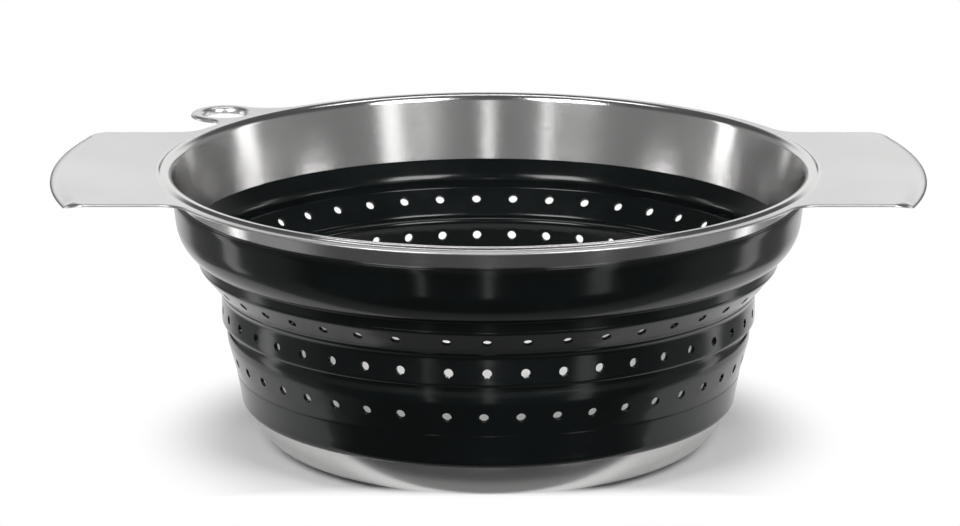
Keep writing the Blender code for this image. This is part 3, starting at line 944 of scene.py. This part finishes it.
@dataclass(frozen=True)
class SheetEdge:
    """How far in a sheet's edge starts to turn down, and how far down it ends."""

    width: float
    drop: float

    def towards(self, other: SheetEdge, share: float) -> SheetEdge:
        """An edge between this one and another."""
        return SheetEdge(self.width + (other.width - self.width) * share,
                         self.drop + (other.drop - self.drop) * share)


@dataclass(frozen=True)
class OutlinePoint:
    """A point of the stamping's outline: its place, the way out of the sheet and its turned edge."""

    place: Vector
    out: Vector
    edge: SheetEdge


def plan_arc(centre: Vector, radius: float, start: float, end: float,
             edges: tuple[SheetEdge, SheetEdge], longest: float) -> list[OutlinePoint]:
    """Outline points on an arc, both ends included.

    Args:
        centre: the arc's centre in plan.
        radius: the arc's radius.
        start: first angle in radians.
        end: last angle; below the start where the sheet lies outside the arc.
        edges: the turned edge at the start and at the end.
        longest: longest chord.

    Returns:
        The points in order.
    """
    side = math.copysign(1, end - start)
    steps = max(3, math.ceil(abs(end - start) * radius / longest))
    points = []
    for step in range(steps + 1):
        out = heading(start + (end - start) * step / steps)
        edge = edges[0].towards(edges[1], step / steps)
        points.append(OutlinePoint(centre + out * radius, out * side, edge))
    return points


@dataclass
class RimStamping:
    """The rim: skirt, bead, flange, two handles and the hanging eyelet in one sheet.

    The chords are the longest straight pieces that the outline's parts are drawn with.
    """

    turned: Material
    # The flat sheet's satin finish: its rougher gloss is real, and its lighter colour is painted sheen.
    satin_and_painted_sheen: Material
    profile: Profile = Profile()
    bead_foot: float = 0.1234
    bead_height: float = 0.0009
    bead_steps: int = 8
    flat_width: float = 0.0005
    mouth_rise: float = 0.0029
    mouth_width: float = 0.0028
    mouth_round: float = 0.0027
    skirt_step: float = 0.0035
    handle_reach: float = 0.1630
    handle_width: float = 0.1150
    handle_corner: float = 0.0080
    handle_root: float = 0.0120
    eyelet_angle: float = math.radians(138.6)
    eyelet_distance: float = 0.1369
    eyelet_radius: float = 0.0133
    eyelet_hole: float = 0.0084
    notch_fillet: float = 0.0060
    blend_fillet: float = 0.0200
    edge_gap: float = 0.0004
    edge_steps: int = 7
    cut_round: float = 0.00016
    ring_chord: float = 0.0044
    tip_chord: float = 0.0022
    hole_chord: float = 0.0016
    round_chord: float = 0.0014
    corner_chord: float = 0.0009
    notch_chord: float = 0.0007
    plain: SheetEdge = SheetEdge(0.0012, 0.0004)
    handle: SheetEdge = SheetEdge(0.0055, 0.0026)
    eyelet: SheetEdge = SheetEdge(0.0014, 0.0014)
    collar: SheetEdge = SheetEdge(0.0018, 0.0024)

    @property
    def eyelet_centre(self) -> Vector:
        """The eyelet's centre in plan."""
        return heading(self.eyelet_angle) * self.eyelet_distance

    def build(self) -> None:
        """Draw the sheet's upper face, give it its thickness and mount it."""
        p = self.profile
        bm = bmesh.new()
        spin_line(bm, self._section(), closed=False)
        spun = set(bm.faces)
        flat = [edge for edge in bm.edges
                if edge.is_boundary and edge.verts[0].co.z > p.skirt_head]
        flat += self._turned_edge(bm, self._outline())
        hole = plan_arc(self.eyelet_centre, self.eyelet_hole, math.tau, 0,
                        (self.collar, self.collar), self.hole_chord)
        flat += self._turned_edge(bm, hole[:-1])
        bmesh.ops.triangle_fill(bm, use_beauty=True, use_dissolve=False, edges=flat, normal=(0, 0, 1))
        # The flat flange and handles take the satin finish, whose lighter colour than the turned steel
        # is painted sheen.
        for face in bm.faces:
            face.material_index = 0 if face in spun else 1
        face_up(bm)
        piece = Piece("steel_rim", "rim_ring", Slot.STEEL)
        item = piece.place(bm, [self.turned, self.satin_and_painted_sheen], sharp=35)
        thicken(item, p.sheet, -1.0, self.cut_round)
        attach(item, Body.RIM.value)

    def _section(self) -> list[Point]:
        """The turned part's upper line: flat, bead, shoulder and skirt."""
        p = self.profile
        inner, crest, steps = self.bead_foot, p.crest_radius, self.bead_steps
        bead = [(inner - (inner - crest) * step / steps,
                 p.flange_top + self.bead_height * (1 - math.cos(math.pi * step / steps)) / 2)
                for step in range(steps + 1)]
        top = p.skirt_head + self.mouth_rise
        slope = (p.skirt_head_radius - p.skirt_foot_radius) / (p.skirt_head - p.skirt_foot)
        mouth = (p.skirt_head_radius + slope * self.mouth_rise, top)
        shoulder = eased([(crest + self.mouth_width, top), mouth,
                          (p.skirt_foot_radius, p.skirt_foot)], self.mouth_round, 14)
        skirt = stepped(shoulder[-2:], self.skirt_step)
        return [(inner + self.flat_width, p.flange_top)] + bead + shoulder[1:-1] + skirt[1:]

    def _turned_edge(self, bm: BMesh, outline: Sequence[OutlinePoint]) -> list[BMEdge]:
        """Turn the sheet's edge down along a closed outline.

        Args:
            bm: mesh to add to.
            outline: the outline's points.

        Returns:
            The innermost loop of edges, on the flat of the sheet.
        """
        top = self.profile.flange_top

        def ring(turn: float, inset: float) -> list[Vector]:
            """Places of one loop, at a turn from the flat, in radians."""
            places = []
            for point in outline:
                back = point.edge.width * (1 - math.sin(turn)) + inset
                drop = point.edge.drop * (1 - math.cos(turn))
                places.append(Vector((*(point.place - point.out * back), top - drop)))
            return places

        loops = [edge_loop(bm, ring(0.0, self.edge_gap))]
        loops += [edge_loop(bm, ring(math.pi / 2 * step / self.edge_steps, 0.0))
                  for step in range(self.edge_steps + 1)]
        for loop, following in zip(loops, loops[1:]):
            bmesh.ops.bridge_loops(bm, edges=loop + following)
        return loops[0]

    def _handle_quarter(self) -> tuple[list[OutlinePoint], float]:
        """Half of the +X handle's outline, from its tip to the ring, and the ring's angle there."""
        ring = self.profile.flange_radius
        half = self.handle_width / 2
        corner_y = half - self.handle_corner
        corner_x = math.sqrt((self.handle_reach - self.handle_corner) ** 2 - corner_y ** 2)
        root_y = half + self.handle_root
        root_x = math.sqrt((ring + self.handle_root) ** 2 - root_y ** 2)
        corner_angle, root_angle = math.atan2(corner_y, corner_x), math.atan2(root_y, root_x)
        points = plan_arc(Vector((0, 0)), self.handle_reach, 0, corner_angle,
                          (self.handle, self.handle), self.tip_chord)
        points += plan_arc(Vector((corner_x, corner_y)), self.handle_corner, corner_angle,
                           math.pi / 2, (self.handle, self.plain), self.corner_chord)[1:]
        points += plan_arc(Vector((root_x, root_y)), self.handle_root, -math.pi / 2,
                           root_angle - math.pi, (self.plain, self.plain), self.round_chord)
        return points, root_angle

    def _eyelet_fillet(self, radius: float, side: int) -> tuple[Vector, float, float]:
        """Centre of a fillet between ring and eyelet, its angle on the ring and to the eyelet."""
        reach = self.profile.flange_radius + radius
        span = self.eyelet_radius + radius
        distance = self.eyelet_distance
        swing = math.acos((distance ** 2 + reach ** 2 - span ** 2) / (2 * distance * reach))
        angle = self.eyelet_angle + side * swing
        middle = heading(angle) * reach
        towards = self.eyelet_centre - middle
        return middle, angle, math.atan2(towards.y, towards.x)

    def _eyelet_outline(self) -> tuple[list[OutlinePoint], float, float]:
        """The eyelet's outline from its blend round to its notch, and the ring's angles there."""
        blend, blend_angle, blend_end = self._eyelet_fillet(self.blend_fillet, -1)
        notch, notch_angle, notch_start = self._eyelet_fillet(self.notch_fillet, 1)
        start = blend_angle + math.pi
        sweep = (blend_end - start) % math.tau - math.tau
        points = plan_arc(blend, self.blend_fillet, start, start + sweep,
                          (self.plain, self.eyelet), self.round_chord)
        start = blend_end + math.pi
        sweep = (notch_start - blend_end) % math.tau
        points += plan_arc(self.eyelet_centre, self.eyelet_radius, start, start + sweep,
                           (self.eyelet, self.eyelet), self.round_chord)[1:]
        sweep = (notch_angle + math.pi - notch_start) % math.tau - math.tau
        points += plan_arc(notch, self.notch_fillet, notch_start, notch_start + sweep,
                           (self.eyelet, self.plain), self.notch_chord)[1:]
        return points, blend_angle, notch_angle

    def _outline(self) -> list[OutlinePoint]:
        """The whole outline, counter-clockwise from the +X handle's tip."""
        quarter, root = self._handle_quarter()
        eyelet, blend_angle, notch_angle = self._eyelet_outline()

        def ring(start: float, end: float) -> list[OutlinePoint]:
            """The ring's own edge between two angles, without the ends."""
            return plan_arc(Vector((0, 0)), self.profile.flange_radius, start, end,
                            (self.plain, self.plain), self.ring_chord)[1:-1]

        def flipped(x: int, y: int) -> list[OutlinePoint]:
            """The handle's quarter mirrored, in the order that keeps the sheet on the left."""
            flip = Matrix(((x, 0), (0, y)))
            points = [OutlinePoint(flip @ point.place, flip @ point.out, point.edge)
                      for point in quarter]
            return points if x * y > 0 else points[::-1]

        points = quarter + ring(root, math.pi / 2) + ring(math.pi / 2, blend_angle)
        points += eyelet + ring(notch_angle, math.pi - root)
        points += flipped(-1, 1) + flipped(-1, -1)[1:]
        points += ring(math.pi + root, 3 * math.pi / 2) + ring(3 * math.pi / 2, math.tau - root)
        return points + flipped(1, -1)[:-1]


# Table, light and camera


@dataclass(frozen=True)
class SoftBox:
    """One soft box, which faces the colander.

    The azimuth is in degrees from +X, the distance is along the table, and the brightness is that of
    the box's face, where 1 is white.
    """

    name: str
    azimuth: float
    distance: float
    height: float
    size: Point
    brightness: float

    def hang(self, aim: Vector) -> None:
        """Hang the box and turn it to the aim."""
        data = bpy.data.lights.new(self.name, "AREA")
        data.shape = "RECTANGLE"
        data.size, data.size_y = self.size
        data.energy = self.brightness * math.pi * data.size * data.size_y
        lamp = bpy.data.objects.new(self.name, data)
        bpy.context.collection.objects.link(lamp)
        turn = math.radians(self.azimuth)
        lamp.location = (self.distance * math.cos(turn), self.distance * math.sin(turn), self.height)
        lamp.rotation_mode = "QUATERNION"
        lamp.rotation_quaternion = (aim - lamp.location).to_track_quat("-Z", "Y")
        lamp.visible_camera = False


@dataclass
class Studio:
    """A pale table in a plain room, soft boxes, and the camera at the photograph's viewing angle.

    The table ends just in front of the colander's foot. The room has one brightness in each direction
    for every kind of ray: a white wall and floor behind, with a dark gap between them just under the
    horizon, grey side walls, a darker wall and floor in front, and a dark ceiling. A rise is the
    height of a direction and a depth is how far it points to the back, both from -1 to 1, and each
    pair says where one part of the room begins to give way to the next and where it has done so.
    """

    focal_pixels: float = 5000.6
    picture_width: float = 960.0
    distance: float = 1.8643
    elevation: float = 13.705
    tilt: float = 14.823
    mouth_height: float = 0.1049
    mouth_column: float = 8.4
    table_front: float = -0.0785
    table_depth: float = 0.4
    table_side: float = 0.2
    table_corner: float = 0.11
    table_drop: float = 0.0002
    table_colour: float = 0.85
    shade: Point = (0.085, 0.135)
    front_fade: float = 0.015
    back_wall: float = 1.0
    side_wall: float = 0.3
    front_wall: float = 0.24
    front_floor: float = 0.08
    ceiling: float = 0.1
    gap: float = 0.05
    wall_rise: Point = (0.05, 0.11)
    floor_rise: Point = (-0.172, -0.195)
    front_rise: Point = (-0.35, -0.1)
    ceiling_rise: Point = (0.32, 0.5)
    back_depth: Point = (0.7, 0.85)
    side_depth: Point = (-0.3, -0.1)
    aim_height: float = 0.06
    boxes: tuple[SoftBox, ...] = (
        SoftBox("right_key", -55, 0.95, 0.87, (0.45, 0.5), 11.0),
        SoftBox("left_key", -125, 0.95, 0.87, (0.45, 0.5), 11.0),
        SoftBox("overhead", 90, 0.35, 1.1, (0.9, 0.16), 4.0),
        SoftBox("left", 165, 0.9, 0.05, (0.14, 0.9), 1.7),
        SoftBox("front_left", -114, 0.9, 0.05, (0.04, 0.9), 1.3),
        SoftBox("front", -90, 0.9, 0.05, (0.025, 0.9), 3.4),
        SoftBox("front_right", -50, 0.9, 0.05, (0.12, 0.9), 1.2),
        SoftBox("right", 18, 0.9, 0.05, (0.16, 0.9), 1.5),
    )

    def build(self) -> None:
        """Set the stage."""
        self._camera()
        self._room()
        self._table()
        for box in self.boxes:
            box.hang(Vector((0.0, 0.0, self.aim_height)))
        bpy.context.scene.view_settings.view_transform = "Standard"

    def _camera(self) -> None:
        """Place the camera where the photograph was taken from."""
        data = bpy.data.cameras.new("camera")
        data.sensor_width = 36.0
        data.lens = data.sensor_width * self.focal_pixels / self.picture_width
        data.shift_x = -self.mouth_column / self.picture_width
        camera = bpy.data.objects.new("camera", data)
        bpy.context.collection.objects.link(camera)
        rise = math.radians(self.elevation)
        camera.location = (0.0, -self.distance * math.cos(rise),
                           self.mouth_height + self.distance * math.sin(rise))
        camera.rotation_euler = (math.radians(90 - self.tilt), 0.0, 0.0)
        bpy.context.scene.camera = camera

    def _room(self) -> None:
        """The room's walls, floor and ceiling, the same for every kind of ray."""
        world = bpy.data.worlds.new("studio")
        bpy.context.scene.world = world
        world.use_nodes = True
        world.node_tree.nodes.clear()
        sheet = NodeSheet(world.node_tree)
        direction = sheet.add("ShaderNodeTexCoord").outputs["Generated"]
        split = sheet.add("ShaderNodeSeparateXYZ", Vector=direction)
        rise, depth = split.outputs["Z"], split.outputs["Y"]
        pale = sheet.larger(sheet.ramp(rise, *self.wall_rise), sheet.ramp(rise, *self.floor_rise))
        behind = sheet.ramp(pale, 0.0, 1.0, self.gap, self.back_wall)
        front = sheet.ramp(rise, *self.front_rise, self.front_floor, self.front_wall)
        around = sheet.mix(sheet.ramp(depth, *self.side_depth), front, self.side_wall)
        walls = sheet.mix(sheet.ramp(depth, *self.back_depth), around, behind)
        level = sheet.mix(sheet.ramp(rise, *self.ceiling_rise), walls, self.ceiling)
        plain = sheet.add("ShaderNodeBackground", Color=(1.0, 1.0, 1.0, 1.0), Strength=level)
        end = sheet.add("ShaderNodeOutputWorld", Surface=plain.outputs[0])
        end.is_active_output = True

    def _table(self) -> None:
        """A pale table top that keeps the object's shadow and turns white away from it."""
        bm = bmesh.new()
        bmesh.ops.create_grid(bm, x_segments=1, y_segments=1, size=1.0)
        half = self.table_depth / 2
        bmesh.ops.scale(bm, verts=bm.verts, vec=(self.table_side, half, 1))
        bmesh.ops.translate(bm, verts=bm.verts, vec=(0, self.table_front + half, -self.table_drop))
        bmesh.ops.bevel(bm, geom=bm.verts[:], offset=self.table_corner, segments=24, profile=0.5,
                        affect="VERTICES")
        mesh = bpy.data.meshes.new("table")
        bm.to_mesh(mesh)
        bm.free()
        mesh.materials.append(self._table_top())
        table = bpy.data.objects.new("table", mesh)
        bpy.context.collection.objects.link(table)

    def _table_top(self) -> Material:
        """The table's matt surface, which the eye, metal and glass see as white further out.

        Returns:
            The finished material.
        """
        material = bpy.data.materials.new("table_top")
        material.use_nodes = True
        material.node_tree.nodes.clear()
        sheet = NodeSheet(material.node_tree)
        matt = sheet.add("ShaderNodeBsdfDiffuse", Color=(self.table_colour,) * 3 + (1.0,))
        white = sheet.add("ShaderNodeEmission", Color=(1.0, 1.0, 1.0, 1.0), Strength=1.0)
        where = sheet.add("ShaderNodeTexCoord").outputs["Object"]
        reach = sheet.add("ShaderNodeVectorMath", operation="LENGTH", i0=where).outputs["Value"]
        depth = sheet.add("ShaderNodeSeparateXYZ", Vector=where).outputs["Y"]
        edge = sheet.ramp(depth, self.table_front + self.front_fade, self.table_front)
        clear = sheet.larger(sheet.ramp(reach, *self.shade), edge)
        rays = sheet.add("ShaderNodeLightPath").outputs
        mirrored = sheet.larger(rays["Is Glossy Ray"], rays["Is Transmission Ray"])
        share = sheet.times(sheet.larger(rays["Is Camera Ray"], mirrored), clear)
        both = sheet.add("ShaderNodeMixShader", i0=share, i1=matt.outputs[0], i2=white.outputs[0])
        sheet.add("ShaderNodeOutputMaterial", Surface=both.outputs[0])
        return material


def main() -> None:
    """Load the frame, dress the colander and set the stage."""
    logging.basicConfig(level=logging.INFO, format="%(name)s: %(message)s")
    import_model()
    effects = Effects(turning_marks_group(), handling_haze_group())
    turned = SteelFinish("turned_steel", streak=0.7)
    # Satin steel for the flat sheet: the rougher gloss is real, and the colour lighter than the turned
    # steel is painted sheen.
    satin_and_painted_sheen = SteelFinish("satin_steel_painted_sheen", colour=(0.84, 0.84, 0.835), roughness=0.3, spread=0.05,
                        streak=0.3, density=0.6)
    # Outside of the base dish: its colour is darker than the turned steel's, which is painted shade.
    dish = SteelFinish("dish_steel_painted_shade", colour=(0.62, 0.615, 0.61), roughness=0.3, streak=0.5)
    # Inside of the base dish: its high roughness is real, and its colour lighter than the outside's is
    # painted light.
    matt = SteelFinish("matt_steel", colour=(0.76, 0.76, 0.75), roughness=0.6, spread=0.08,
                       streak=0.2, density=0.5)
    FoldingWall(SiliconeFinish("black_silicone").material(effects)).build()
    BaseDish(matt.material(effects), dish.material(effects)).build()
    RimStamping(turned.material(effects), satin_and_painted_sheen.material(effects)).build()
    Studio().build()


if __name__ == "__main__":
    main()
